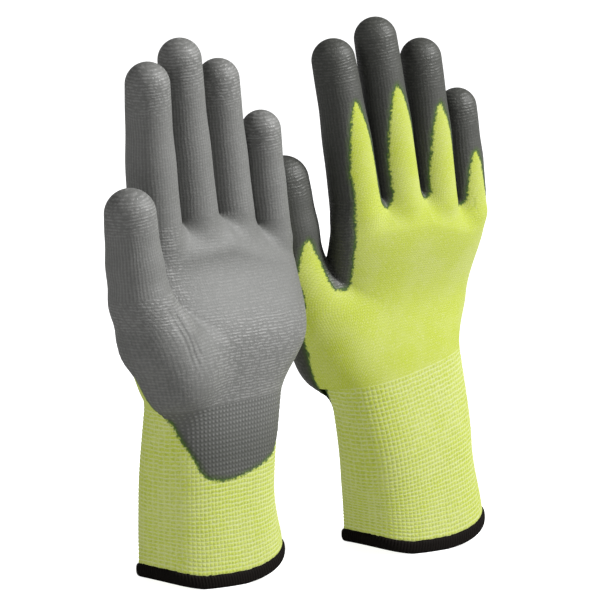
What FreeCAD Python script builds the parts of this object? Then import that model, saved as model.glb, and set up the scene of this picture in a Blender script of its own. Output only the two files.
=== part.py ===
import FreeCAD, Part
import math
import os
from FreeCAD import Vector

# A pair of knitted work gloves with dipped grips, standing upright on their wrist hems.
# Millimetres, +Z up. Each glove is drawn as a left glove: palm towards -Y, thumb towards -X,
# its hem on z = 0. The right glove is the same shape mirrored in Y, and stands beside it.

# ---- cloth, coating and trim -------------------------------------------------------------
knit_wall = 1.2          # knitted liner of the hand and the fingers
cuff_wall = 1.8          # ribbed cuff, knitted thicker
coating = 0.35           # dipped film on the outside of the liner
cling = 0.08             # film to liner, so that the two surfaces never cut each other
joint_gap = 0.4          # between a finger stall and the hand it turns on
hem_height = 5.5         # overlocked edge of the cuff
hem_thickness = 3.6
hem_round = 0.55         # radius of the hem's edges
hem_floor = 1.4          # thread below the cuff's cut edge
hem_clearance = 0.15     # between the overlock thread and the cuff inside it
yarn = 0.6               # elastic yarn laid into the cuff
yarn_clearance = 0.10
yarn_pitch = 4.0         # from one elastic yarn to the next
yarn_margin = 3.0        # from the last yarn to either end of the bare cuff

# ---- the hand ----------------------------------------------------------------------------
cuff_height = 82.0       # from the hem's foot to the end of the ribbing
hand_squareness = 2.6    # exponent of the superellipse that every cross-section follows
pair_spacing = 118.0     # from the middle of one glove to the middle of the other

# Cross-sections of the trunk: height, thumb side x, little-finger side x, half depth, middle y
hem_section = (0.0, -30.0, 37.0, 23.0, 1.6)
cuff_section = (40.0, -31.0, 31.0, 22.4, 0.4)
wrist_section = (80.0, -34.4, 31.4, 19.0, -5.4)
heel_section = (108.0, -37.0, 41.0, 15.6, -11.4)
side_margin = 0.5        # palm beyond the outer fingers' roots, on each side
knuckle_height = 146.0
knuckle_depth = 13.0
knuckle_middle = -0.6

palm_top = 151.0         # top of the closed palm on the glove's middle line
palm_top_slope = -0.055  # rise of that top towards the little finger

# Fingers: root height, radius at the root, radius at the tip, length from root to tip centre,
# y of the root, lean in x and in y for each millimetre up
finger_sizes = {
    "index": (157.0, 11.4, 9.4, 64.0, -1.0, -0.135, -0.080),
    "middle": (159.5, 10.9, 9.2, 70.0, 0.8, -0.145, -0.043),
    "ring": (158.0, 10.2, 9.0, 60.5, 1.5, -0.130, -0.010),
    "little": (152.5, 9.1, 8.5, 42.0, 0.2, -0.125, -0.012),
}
finger_order = ["index", "middle", "ring", "little"]
finger_gap = 0.8         # between the coated sides of neighbours, level with their roots
middle_root_x = -6.9     # the row of fingers is set out from the middle finger
finger_bend = 70.0       # how far a stall bends towards the palm, in degrees
hinge_inset = 3.0        # from the palm side of a stall to the line it bends on
crease_gap = 0.5         # spare room in the crease that the bent stall folds into
stub_depth = 14.0        # how deep a finger's root reaches into the hand

thumb_foot = (-26.0, -14.8, cuff_height + 6.0, 7.0)      # ball of the thumb: x, y, z, radius
thumb_heel = (-31.5, -15.8, 97.5, 16.4)
thumb_knuckle = (-42.5, -16.3, 112.0, 16.3)
thumb_root = (-51.8, -16.8, 129.0, 12.9)
thumb_tip = (-57.8, -17.2, 167.4, 10.9)
thumb_bend = 30.0
thumb_bend_side = 0.25   # share of the thumb's bend that goes towards the little finger

# ---- the dipped area ---------------------------------------------------------------------
# Lower edge of the film over the cuff and heel of the hand, on the palm side: (x, z)
film_edge = [(-46.0, 98.0), (-37.0, 82.0), (-30.0, 60.0), (-23.0, 48.5), (-12.0, 47.5),
             (-2.0, 48.5), (10.0, 51.0), (22.0, 53.5), (31.0, 61.0), (46.0, 98.0)]
film_back = 7.5          # how far behind the hand's middle it wraps on the forefinger side
film_back_little = 1.0   # and on the little-finger side
film_thumb_back = 7.0    # and on the ball of the thumb, behind the thumb's own middle
web_x = -38.5            # where the thumb's ball leaves the edge of the palm
window_bare = 29.0       # film over the back of a fingertip, from the tip down to the bare arch
window_bare_thumb = 38.0
window_width = 1.55      # width of the bare back of a stall, in stall radii
window_arch = 12.0       # height of the arch's pointed top

section_points = 24      # points round a cross-section
section_step = 5.0       # height between the sections of the trunk
far = 200.0              # half-size of cutting blocks, clear of the whole glove


def unit(vector):
    """The same direction with length one."""
    result = Vector(vector)
    result.normalize()
    return result


def finger_frame(root, direction, towards):
    """Root, axis, bending direction and hinge direction of a stall, all at right angles."""
    axis = unit(direction)
    bend = Vector(towards) - axis * Vector(towards).dot(axis)
    bend.normalize()
    return root, axis, bend, axis.cross(bend)


def finger_row():
    """Root points of the four fingers, each clear of its neighbour by finger_gap."""
    level = finger_sizes["middle"][0]
    start = finger_order.index("middle")
    across = {"middle": middle_root_x}
    for step in (1, -1):
        previous = "middle"
        names = finger_order[start + 1:] if step > 0 else finger_order[:start][::-1]
        for name in names:
            lean = max(abs(finger_sizes[name][5]), abs(finger_sizes[previous][5]))
            apart = finger_sizes[name][1] + finger_sizes[previous][1] + finger_gap
            across[name] = across[previous] + step * apart * math.hypot(1.0, lean)
            previous = name
    roots = {}
    for name in finger_order:
        height, _, _, _, depth, lean_x, _ = finger_sizes[name]
        roots[name] = Vector(across[name] + lean_x * (height - level), depth, height)
    return roots


def stalls():
    """Every stall by name: frame, root radius, tip radius, length, bend and bare length."""
    table = {}
    roots = finger_row()
    for name in finger_order:
        _, root_radius, tip_radius, length, _, lean_x, lean_y = finger_sizes[name]
        frame = finger_frame(roots[name], Vector(lean_x, lean_y, 1.0), Vector(0, -1, 0))
        table[name] = (frame, root_radius, tip_radius, length, finger_bend, window_bare)
    root, tip = Vector(*thumb_root[:3]), Vector(*thumb_tip[:3])
    side = Vector(thumb_bend_side, -1.0, 0.0)
    frame = finger_frame(root, tip - root, side)
    table["thumb"] = (frame, thumb_root[3], thumb_tip[3], (tip - root).Length, thumb_bend,
                      window_bare_thumb)
    return table


def hinge_point(name):
    """A point on the line that a stall bends about, on the stall's middle plane."""
    (root, _, bend, _), root_radius = stalls()[name][:2]
    return root + bend * (root_radius - hinge_inset)


def trunk_stations():
    """The trunk's cross-sections from the hem to above the palm, lowest first."""
    roots = finger_row()
    low = roots["index"].x - finger_sizes["index"][1] - side_margin
    high = roots["little"].x + finger_sizes["little"][1] + side_margin
    knuckle = (knuckle_height, low, high, knuckle_depth, knuckle_middle)
    above = (knuckle_height + 2.0 * stub_depth,) + knuckle[1:]
    return [hem_section, cuff_section, wrist_section, heel_section, knuckle, above]


def trunk_at(height):
    """Cross-section at any height, by a smooth curve through the stations' values."""
    stations = trunk_stations()
    heights = [station[0] for station in stations]
    last = len(stations) - 2
    index = min(max(sum(1 for h in heights if h <= height) - 1, 0), last)
    share = (height - heights[index]) / (heights[index + 1] - heights[index])
    values = []
    for column in range(1, 5):
        points = [station[column] for station in stations]
        slopes = [slope_at(heights, points, i) for i in (index, index + 1)]
        span = heights[index + 1] - heights[index]
        values.append(hermite(points[index], points[index + 1], slopes[0] * span,
                              slopes[1] * span, share))
    return values


def slope_at(heights, points, i):
    """Slope of the smooth curve at one station: the mean of its two sides, level at the ends."""
    if i == 0 or i == len(points) - 1:
        return 0.0
    before = (points[i] - points[i - 1]) / (heights[i] - heights[i - 1])
    after = (points[i + 1] - points[i]) / (heights[i + 1] - heights[i])
    return 0.0 if before * after <= 0 else 2.0 * before * after / (before + after)


def hermite(start, end, slope_start, slope_end, t):
    """Cubic from start to end with the given end slopes."""
    return ((2 * t**3 - 3 * t**2 + 1) * start + (t**3 - 2 * t**2 + t) * slope_start
            + (-2 * t**3 + 3 * t**2) * end + (t**3 - t**2) * slope_end)


def closed_curve(points):
    """A smooth closed wire through the points."""
    curve = Part.BSplineCurve()
    curve.interpolate(points, PeriodicFlag=True)
    return Part.Wire(curve.toShape())


def outline(height, grow, level=None):
    """Superellipse of the trunk at a height, grown outwards by grow."""
    low, high, half_depth, middle = trunk_at(height)
    half_width = (high - low) / 2 + grow
    half_depth = half_depth + grow
    centre = (high + low) / 2
    power = 2.0 / hand_squareness
    level = height if level is None else level
    points = []
    for i in range(section_points):
        angle = 2 * math.pi * (i + 0.5) / section_points
        c, s = math.cos(angle), math.sin(angle)
        points.append(Vector(centre + half_width * math.copysign(abs(c) ** power, c),
                             middle + half_depth * math.copysign(abs(s) ** power, s), level))
    return closed_curve(points)


def trunk(low, high, grow):
    """The trunk as a filled body between two heights, grown outwards by grow."""
    inner = [section_step * i for i in range(int(far / section_step))
             if low + section_step / 4 < section_step * i < high - section_step / 4]
    heights = [low] + inner + [high]
    return Part.makeLoft([outline(h, grow) for h in heights], True)


def ring(centre, axis, side, radius):
    """A round wire about an axis, started at the given side."""
    across = axis.cross(side)
    points = [centre + side * (radius * math.cos(a)) + across * (radius * math.sin(a))
              for a in (2 * math.pi * i / section_points for i in range(section_points))]
    return closed_curve(points)


def thumb_sleeve(grow, open_end):
    """Ball of the thumb, filled, from inside the hand to just below the thumb's stall.

    With an open end it runs on a little way into the gap below the stall.
    """
    frame, root_radius = stalls()["thumb"][:2]
    foot, heel, knuckle = [Vector(*place[:3])
                           for place in (thumb_foot, thumb_heel, thumb_knuckle)]
    root, axis = frame[0], frame[1]
    end, beyond = root - axis * joint_gap, root + axis * joint_gap
    places = [(foot, knuckle - foot, thumb_foot[3]), (heel, knuckle - foot, thumb_heel[3]),
              (knuckle, root - heel, thumb_knuckle[3]), (end, axis, root_radius),
              (beyond, axis, root_radius)]
    wires = []
    for centre, direction, radius in places:
        direction = unit(direction)
        side = Vector(0, 1, 0) - direction * direction.y
        wires.append(ring(centre, direction, unit(side), radius + grow))
    sleeve = Part.makeLoft(wires, True)
    if open_end:
        return sleeve
    return sleeve.cut(Part.makeCylinder(2 * root_radius, 2 * root_radius, end, axis))


def stub(name, grow, open_end):
    """Root of a finger inside the hand, filled, ending joint_gap below the stall."""
    (root, axis, _, _), root_radius = stalls()[name][:2]
    radius = root_radius + grow
    foot = root - axis * stub_depth
    height = stub_depth + (joint_gap if open_end else -joint_gap)
    return Part.makeCylinder(radius, height, foot, axis)


def palm_block(low, grow):
    """The palm from a height up to its sloping top, filled; grow also raises the top."""
    body = trunk(low, palm_top + 2 * stub_depth, grow)
    lid = Part.makeBox(2 * far, 2 * far, far, Vector(-far, -far, 0))
    lid.rotate(Vector(), Vector(0, 1, 0), -math.degrees(math.atan(palm_top_slope)))
    lid.translate(Vector(0, 0, palm_top + grow))
    return body.cut(lid)


def crease(name, reach):
    """Room on the palm side of a stall's hinge line, for the fold when the stall bends."""
    (root, axis, bend, hinge), root_radius = stalls()[name][:2]
    depth = hinge_inset * math.sin(math.radians(stalls()[name][4])) + joint_gap + crease_gap
    start = root + bend * (root_radius - hinge_inset - joint_gap)
    corner = start + hinge * reach - axis * depth
    block = Part.makeBox(2 * reach, root_radius, depth + joint_gap)
    block.Placement = FreeCAD.Placement(corner, FreeCAD.Rotation(-hinge, bend, axis, "XYZ"))
    return block


def creases():
    """The folds of all five stalls, as one cutting shape."""
    table = stalls()
    blocks = [crease(name, table[name][1] + finger_gap) for name in table]
    return blocks[0].multiFuse(blocks[1:])


def hand_solid(low, grow, open_end=False):
    """Palm, ball of the thumb and finger roots as one filled body, from a height upwards."""
    parts = [thumb_sleeve(grow, open_end)]
    parts += [stub(name, grow, open_end) for name in finger_order]
    return palm_block(low, grow).multiFuse(parts)


def palm_knit():
    """Knitted hand: closed between the fingers, open at the wrist and into the stalls."""
    skin = -coating - cling
    room = hand_solid(cuff_height - 1.0, skin - knit_wall, True)
    return hand_solid(cuff_height, skin).cut(room).cut(creases())


def cuff_knit():
    """Ribbed cuff with a groove inside it for each elastic yarn."""
    skin = -coating - cling
    shell = trunk(hem_floor, cuff_height, skin).cut(
        trunk(hem_floor - 1.0, cuff_height + 1.0, skin - cuff_wall))
    for height in yarn_heights():
        shell = shell.cut(yarn_ring(height, yarn_clearance, cuff_wall))
    return shell


def yarn_heights():
    """Heights of the elastic yarns, evenly spaced over the bare cuff."""
    low = hem_height + yarn_margin
    count = int((cuff_height - yarn_margin - low) / yarn_pitch) + 1
    return [low + i * yarn_pitch for i in range(count)]


def yarn_ring(height, clearance, reach=0.0):
    """One elastic yarn, sunk into the inner face of the cuff, or the groove that it lies in.

    A groove has a clearance round the yarn and a reach into the room inside the cuff.
    """
    inner = -coating - cling - cuff_wall
    low = height - yarn / 2 - clearance
    outer = Part.Face(outline(height, inner + yarn + clearance, low))
    hole = Part.Face(outline(height, inner - reach, low))
    return outer.cut(hole).extrude(Vector(0, 0, yarn + 2 * clearance))


def cuff_elastic():
    """All the elastic yarns of one cuff."""
    return Part.makeCompound([yarn_ring(height, 0.0) for height in yarn_heights()])


def hem_ring(low, high, half):
    """A band from one height to another, as wide as two halves, on the cuff's middle line."""
    middle = -coating - cling - cuff_wall / 2
    return trunk(low, high, middle + half).cut(trunk(low - 1.0, high + 1.0, middle - half))


def cuff_hem():
    """Overlocked hem: a rounded band that wraps the cut edge of the cuff."""
    room = cuff_wall / 2 + hem_clearance
    groove = hem_ring(hem_floor - hem_clearance, hem_height + 1.0, room)
    band = hem_ring(0.0, hem_height, hem_thickness / 2).cut(groove)
    level = [edge for edge in band.Edges if edge.BoundBox.ZLength < 0.01]
    foot = [edge for edge in level if edge.BoundBox.ZMin < 0.01]
    rim = sorted((edge for edge in level if edge.BoundBox.ZMin > hem_height - 0.01),
                 key=lambda edge: edge.Length)
    lip = hem_thickness / 2 - room
    return band.makeFillet(min(hem_round, 0.85 * lip), foot + [rim[0], rim[-1]])


def stall_profile(root_radius, tip_radius, length, outer, inner, root, side, axis):
    """Half section of a hollow tapered stall with a round tip, between two offsets."""
    slant = math.asin((root_radius - tip_radius) / length)

    def at(radius, along):
        return root + side * radius + axis * along

    def side_points(offset):
        big, small = root_radius + offset, tip_radius + offset
        foot = at(big / math.cos(slant), 0.0)
        shoulder = at(small * math.cos(slant), length + small * math.sin(slant))
        middle_angle = (slant + math.pi / 2) / 2
        middle = at(small * math.cos(middle_angle), length + small * math.sin(middle_angle))
        return foot, shoulder, middle, at(0.0, length + small)

    foot, shoulder, middle, top = side_points(outer)
    foot_in, shoulder_in, middle_in, top_in = side_points(inner)
    edges = [Part.LineSegment(foot, shoulder), Part.Arc(shoulder, middle, top),
             Part.LineSegment(top, top_in), Part.Arc(top_in, middle_in, shoulder_in),
             Part.LineSegment(shoulder_in, foot_in), Part.LineSegment(foot_in, foot)]
    return Part.Face(Part.Wire([edge.toShape() for edge in edges]))


def stall_shell(name, outer, inner):
    """A stall's wall between two offsets from its coated surface."""
    (root, axis, _, hinge), root_radius, tip_radius, length = stalls()[name][:4]
    face = stall_profile(root_radius, tip_radius, length, outer, inner, root, hinge, axis)
    return face.revolve(root, axis, 360.0)


def stall_knit(name):
    """Knitted stall of one finger, open at its root."""
    skin = -coating - cling
    return stall_shell(name, skin, skin - knit_wall)


def bare_window(name):
    """Arch-topped prism over the back of a stall, where the knit stays bare."""
    (root, axis, bend, hinge), root_radius, tip_radius, length, _, bare = stalls()[name]
    half = window_width * tip_radius / 2
    top = length + tip_radius - bare
    shoulder = top - window_arch
    points = [(-half, -1.0), (half, -1.0), (half, shoulder)]
    left = [(-half, shoulder)]

    def at(across, along):
        return root + hinge * across + axis * along

    lines = [Part.LineSegment(at(*points[0]), at(*points[1])),
             Part.LineSegment(at(*points[1]), at(*points[2])),
             Part.Arc(at(*points[2]), at(0.62 * half, shoulder + 0.6 * window_arch),
                      at(0, top)),
             Part.Arc(at(0, top), at(-0.62 * half, shoulder + 0.6 * window_arch),
                      at(*left[0])),
             Part.LineSegment(at(*left[0]), at(*points[0]))]
    face = Part.Face(Part.Wire([line.toShape() for line in lines]))
    return face.extrude(bend * (-2.0 * root_radius))


def stall_coating(name):
    """Dipped film over a stall, all round the tip and bare on the back below it."""
    return stall_shell(name, 0.0, -coating).cut(bare_window(name))


def film_area():
    """Block that holds the dipped part of the hand: palm side, above the film's lower edge."""
    edge = Part.BSplineCurve()
    edge.interpolate([Vector(x, -far, z) for x, z in film_edge])
    first, last = film_edge[0], film_edge[-1]
    corners = [Vector(last[0], -far, last[1]), Vector(far, -far, last[1]),
               Vector(far, -far, far), Vector(-far, -far, far), Vector(-far, -far, first[1]),
               Vector(first[0], -far, first[1])]
    wire = Part.Wire([edge.toShape()] + Part.makePolygon(corners).Edges)
    front = Part.Face(wire).extrude(Vector(0, 2 * far, 0))
    thumb_side = Part.makeBox(far, 2 * far, thumb_root[2], Vector(web_x - far, -far, 0))
    thumb_film = Part.makeBox(far, far, thumb_root[2],
                              Vector(web_x - far, thumb_root[1] + film_thumb_back - far, 0))
    palm_film = wrapped_block(-far, 0.0, film_back).fuse(
        wrapped_block(0.0, far, film_back_little)).cut(thumb_side)
    return front.common(palm_film.fuse(thumb_film))


def wrapped_block(low_x, high_x, back):
    """Everything in front of the line that lies back behind the trunk's middle."""
    steps = range(int(palm_top / section_step) + 2)
    heights = [section_step * i for i in steps] + [far]
    line = [Vector(low_x, trunk_at(h)[3] + back, h) for h in heights[:-1]]
    corners = [Vector(low_x, line[-1].y, far), Vector(low_x, -far, far), Vector(low_x, -far, 0)]
    face = Part.Face(Part.makePolygon(line + corners + line[:1]))
    return face.extrude(Vector(high_x - low_x, 0, 0))


def palm_coating():
    """Dipped film over the palm, its lower edge reaching down over the cuff."""
    lowest = min(z for _, z in film_edge) - section_step
    inside = hand_solid(lowest - 1.0, -coating, True)
    return hand_solid(lowest, 0.0).cut(inside).common(film_area()).cut(creases())


def glove():
    """All the pieces of one left glove, by name."""
    pieces = {"cuff_hem": cuff_hem(), "cuff_knit": cuff_knit(), "cuff_elastic": cuff_elastic(),
              "palm_knit": palm_knit(), "palm_coating": palm_coating()}
    for name in stalls():
        pieces[name + "_stall"] = stall_knit(name)
        pieces[name + "_coating"] = stall_coating(name)
    return pieces


def pair_places(pieces):
    """How far each glove is moved in X, so that the origin is under the pair's middle."""
    boxes = [shape.optimalBoundingBox() for shape in pieces.values()]
    middle = (min(box.XMin for box in boxes) + max(box.XMax for box in boxes)) / 2
    return {"left": -pair_spacing / 2 - middle, "right": pair_spacing / 2 - middle}


def main():
    os.makedirs("parts", exist_ok=True)
    pieces = glove()
    places = pair_places(pieces)
    for piece, shape in pieces.items():
        for side, made in (("left", shape), ("right", shape.mirror(Vector(), Vector(0, 1, 0)))):
            placed = made.copy()
            placed.translate(Vector(places[side], 0, 0))
            placed.exportStep(f"parts/{side}_{piece}.step")
            box = placed.optimalBoundingBox()
            print(f"{side}_{piece}: solids {len(placed.Solids)} valid {placed.isValid()} "
                  f"volume {placed.Volume:.0f} x {box.XMin:.1f}..{box.XMax:.1f} "
                  f"z {box.ZMin:.1f}..{box.ZMax:.1f}")


if __name__ == "__main__":
    main()
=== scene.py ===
"""A pair of knitted work gloves with dipped grips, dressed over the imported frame.

Lengths in the working code are millimetres in the left glove's own place: palm towards -Y, thumb
towards -X, hem on z = 0. The right glove is the same skin mirrored in Y.
"""

import math

import bpy
import numpy as np
from bpy.props import (FloatProperty, FloatVectorProperty, IntProperty, PointerProperty)
from bpy.types import Operator, Panel, PropertyGroup
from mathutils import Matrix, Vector


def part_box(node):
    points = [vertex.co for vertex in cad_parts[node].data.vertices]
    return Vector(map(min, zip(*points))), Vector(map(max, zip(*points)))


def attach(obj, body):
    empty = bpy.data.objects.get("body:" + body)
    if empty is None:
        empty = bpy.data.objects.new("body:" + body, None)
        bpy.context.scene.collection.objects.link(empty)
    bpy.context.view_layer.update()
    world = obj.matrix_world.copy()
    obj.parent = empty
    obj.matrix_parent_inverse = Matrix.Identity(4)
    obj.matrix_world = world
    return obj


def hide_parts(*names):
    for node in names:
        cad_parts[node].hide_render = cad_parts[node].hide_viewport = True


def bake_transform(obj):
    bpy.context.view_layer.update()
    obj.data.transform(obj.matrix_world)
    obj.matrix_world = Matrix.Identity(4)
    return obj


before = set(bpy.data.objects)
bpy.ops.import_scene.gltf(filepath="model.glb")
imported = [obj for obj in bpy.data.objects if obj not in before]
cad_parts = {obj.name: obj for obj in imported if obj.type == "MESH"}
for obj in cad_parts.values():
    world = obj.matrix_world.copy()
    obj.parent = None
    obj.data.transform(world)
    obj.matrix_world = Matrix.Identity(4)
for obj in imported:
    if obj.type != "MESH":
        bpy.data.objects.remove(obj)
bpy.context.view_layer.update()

bl_info = {
    "name": "Dipped work gloves",
    "version": (1, 0, 0),
    "blender": (4, 5, 0),
    "location": "View3D > Sidebar > Gloves",
    "description": "Builds a pair of knitted work gloves with dipped grips over a fixed frame",
    "category": "Add Mesh",
}

SIDES = ("left", "right")
FINGERS = ("index", "middle", "ring", "little")
STALLS = FINGERS + ("thumb",)
MM = 0.001
# metres to the camera's right of the gloves, towards it and up; metres wide; watts
LIGHTS = (("key", 1.76, 0.28, 1.35, 0.5, 99.0), ("fill", -1.2, 1.0, 0.6, 1.0, 6.5))

# ---- the hand's form, in millimetres -------------------------------------------------------
SQUARENESS = 2.6         # exponent of the superellipse that a cross-section follows
# height, thumb side x, little-finger side x, half depth, middle y
SECTIONS = np.array([
    (0.0, -30.0, 37.0, 23.0, 1.6), (40.0, -31.0, 31.0, 22.4, 0.4),
    (80.0, -34.4, 31.4, 19.0, -5.4), (108.0, -37.0, 43.0, 15.6, -11.4),
    (146.0, -41.8, 45.97, 13.0, -0.6), (174.0, -41.8, 45.97, 13.0, -0.6)])
HEM_CENTRE = 3.5         # x of the hem's middle in the glove's own place
CUFF_TOP = 82.0          # where the ribbing ends and the plain knit begins
# height of the web between the fingers, along x
WEB_X = (-46.0, -40.0, -18.4, 4.5, 26.5, 42.0, 48.0)
WEB_Z = (150.0, 154.0, 157.0, 158.5, 152.0, 150.0, 147.0)
WEB_THIN = 0.48          # share of its depth that the palm loses at the web
WEB_THINS = (-14.0, 2.0)         # heights about the web between which it does

# root, direction, radius at the root, radius at the tip, length from root to tip centre
ROOTS = {
    "index": ((-29.90, -1.0, 157.0), (-0.135, -0.080, 1.0), 11.4, 9.4, 64.0),
    "middle": ((-6.90, 0.8, 159.5), (-0.145, -0.043, 1.0), 10.9, 9.2, 70.0),
    "ring": ((15.42, 1.5, 158.0), (-0.130, -0.010, 1.0), 10.2, 9.0, 60.5),
    "little": ((36.37, 0.2, 152.5), (-0.125, -0.012, 1.0), 9.1, 8.5, 42.0),
    "thumb": ((-51.8, -16.8, 129.0), (-6.0, -0.4, 38.4), 12.9, 10.9, 38.868),
}
# which way a stall bends, how far above its root it is parted from the hand, and a length along
# it above that seam, which fasten reads but leaves unused
BENDS_TO = {name: (0.0, -1.0, 0.0) for name in FINGERS}
BENDS_TO["thumb"] = (0.25, -1.0, 0.0)
SEAM_ABOVE = {"index": 3.0, "middle": 2.6, "ring": 2.6, "little": 4.0, "thumb": 4.0}
BEND_OVER = {"index": 19.0, "middle": 19.0, "ring": 18.0, "little": 16.0, "thumb": 16.0}
# how far a finger's axis bows towards the back
BOW = {"index": 0.7, "middle": 0.6, "ring": 0.5, "little": 0.4, "thumb": 0.8}
SWELLS = ((0.022, 0.44, 0.13), (-0.02, 0.68, 0.12))   # share of the radius, place, width
STUB = 5.0               # how deep a finger's root runs into the palm
TRUNK_TO_WEB = 7.0       # rounding where the palm ends at the web
PALM_TO_FINGER = 4.5     # fillet between the palm and a finger
THUMB_FILLET = (12.0, 1.2)       # fillet of the thumb at its ball and at its crotch
THUMB_FILLET_Z = (108.0, 126.0)  # heights between which it narrows
BALL_ROUNDING = 3.0      # fillet between the cones of the thumb's ball
THUMB_CHAIN = ((-26.0, -14.8, 88.0, 7.0), (-31.5, -15.8, 97.5, 16.4),
               (-42.5, -16.3, 112.0, 16.3), (-51.8, -16.8, 129.0, 12.9))

# ---- cuff and hem, in millimetres ----------------------------------------------------------
CUFF_LEAN = {"left": 1.6, "right": 7.5}    # how far the ribbing's rows lean at their sides
HEM_LEAN = {"left": 3.2, "right": 2.8}     # how far the hem leans
HEM_RISE = 6.5           # how far the hem's two sides stand off the floor
HEM_FLOOR = 1.4          # where the ribbing starts inside the hem
HEM_HEIGHT = 6.2
HEM_HALF = 2.0           # half the hem's thickness
HEM_SQUARENESS = 2.8     # exponent of the superellipse that its section follows
HEM_REACH = 33.5         # from the hem's middle to its sides
RISE_GONE = 45.0         # height at which the hem's rise has passed into the rows' lean
LEAN_GONE = 114.0        # height at which the lean has faded away
CUFF_CELL = (4, 3)       # points across and up one cell of the ribbing
HEM_GRID = (7, 30)       # points along one turn of thread, and round the hem's section
HEM_SLANT = 0.35         # share of a turn that the thread slants by on either face
HEM_RAGGED = 0.35        # how much the turns differ in height at the hem's upper edge
HEM_ROUND_HEIGHT = 40.0  # height at which the hem's turns are spaced
HEM_WRAPS = 132          # turns of thread round one hem
HEM_ROUND = 8.0          # stitch-map units once round the hem's section
THREAD_PROUD = 0.16      # how far a turn of thread stands out

# ---- stitches, yarn, film and creases ------------------------------------------------------
COUNT_HEIGHT = 118.0     # height at which the stitches round the trunk are counted
RIBBED_FILM = (0.022, 0.024, 0.018, 1.0)     # film in the shade between the ribbing's dots
THIN_FILM = (0.040, 0.060, 0.020, 1.0)       # film at its edge, where the knit shows through
FILM_SINK = 0.16         # how far the film sinks into the lines between the cuff's cells
YARN_PAINTED_GLOW = 0.80         # painted glow: share of its own colour that the fluorescent yarn gives off as light
CREASE_LINES = ((-50.5, 0.5), (-47.5, 0.8), (-44.0, 0.55))   # x at the top, depth
CREASE_TOP = 131.0       # height at which the creases begin, under the thumb's crotch
CREASE_WIDE = 1.1
CREASE_LEAN = 0.5        # how far a crease leans inwards for each mm down
CREASE_FADES = ((0.0, 7.0), (18.0, 36.0))    # distances down over which it comes and goes
CREASE_FRONT = (-16.0, -24.0)    # y over which it comes from the side to the palm

# ---- the dipped area, in millimetres -------------------------------------------------------
# height of the film's foot along x
FILM_FOOT_X = (-60.0, -34.0, -31.5, -28.0, -23.0, -19.0, -11.0, -2.0, 11.0, 22.0, 27.0, 34.0,
               46.0)
FILM_FOOT_Z = (82.0, 78.0, 74.0, 67.0, 59.0, 51.0, 48.8, 48.8, 51.5, 55.5, 61.0, 76.0, 98.0)
# depth of the film's edge down the thumb's side, along z
THUMB_EDGE_Z = (50.0, 60.0, 72.0, 84.0, 98.0, 112.0, 170.0)
THUMB_EDGE_Y = (-24.0, -18.0, -15.0, -13.5, -11.0, -6.0, -7.0)
FOOT_SHIFTS = (-2.0, -1.0, 0.0, 1.0, 2.0)    # x shifts that the foot is averaged over
WRIST_Z, WRIST_X = (112.0, 104.0), (-26.0, -34.0)    # where the thumb's edge starts at the wrist
WRAP_LITTLE, WRAP_THUMB = 1.0, 7.5   # how far behind the hand's middle the film wraps
WRAP_X = (-25.0, 25.0)           # x between which the wrap changes
FINGER_NEAR = (6.0, 2.5)         # distances from a finger over which its arch takes over the palm
FINGER_RISE = (-4.0, 2.5)        # and heights about its root
THUMB_RISE = (-12.0, 3.0)        # heights about the thumb's root, the same
CROTCH_FOOT = (-40.0, 114.0)     # x and height of the film's lowest point between thumb and index
LOBE_SLANT, LOBE_ROUNDING = 0.42, 5.0
LOBE_WIDENS = (140.0, 120.0)     # heights between which that lobe grows a millimetre wider
FREE_OVER = 14.0                 # height over which a bare arch takes over from the hand's side
# bare arches on the stalls' backs: top below the stall's tip, half angle and turn in degrees
WINDOW_BARE = {"index": 27.5, "middle": 29.5, "ring": 28.0, "little": 27.0, "thumb": 36.0}
WINDOW_LONG = 33.0       # distance from an arch's top to where it is widest
WINDOW_WIDE = {"index": 47.0, "middle": 53.0, "ring": 53.0, "little": 53.0, "thumb": 46.0}
WINDOW_TURN = {"index": 0.0, "middle": 0.0, "ring": 0.0, "little": 0.0, "thumb": 6.0}


COLOUR = {"subtype": "COLOR", "size": 4, "min": 0.0, "max": 1.0}


class GloveSizes(PropertyGroup):
    """Sizes that set how finely and how thickly the gloves are made."""
    spacing: FloatProperty(
        name="Skin spacing", description="Distance between neighbouring points of the skin, in mm",
        default=0.8, min=0.5, max=3.0)
    knit_wall: FloatProperty(
        name="Knit wall", description="Thickness of the knitted liner",
        default=0.0012, unit="LENGTH")
    cuff_wall: FloatProperty(
        name="Cuff wall", description="Thickness of the ribbed cuff",
        default=0.0013, unit="LENGTH")
    film_wall: FloatProperty(
        name="Film wall", description="Thickness of the dipped film's shell",
        default=0.00022, unit="LENGTH")
    film_proud: FloatProperty(
        name="Film proud", description="How far the film stands proud of the knit, in mm",
        default=0.35, min=0.05, max=1.0)
    wale: FloatProperty(
        name="Wale pitch", description="Width of one column of stitches, in mm",
        default=1.30, min=0.5, max=3.0)
    course: FloatProperty(
        name="Course pitch", description="Height of one row of stitches, in mm",
        default=1.12, min=0.5, max=3.0)
    rib_columns: IntProperty(
        name="Rib columns", description="Columns of puffed cells round one cuff",
        default=84, min=20, max=140)
    rib_rows: IntProperty(
        name="Rib rows", description="Rows of elastic yarn up one cuff",
        default=42, min=10, max=80)
    rib_relief: FloatProperty(
        name="Rib relief", description="Depth of the lines between the cuff's cells, in mm",
        default=0.26, min=0.0, max=1.0)


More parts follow.
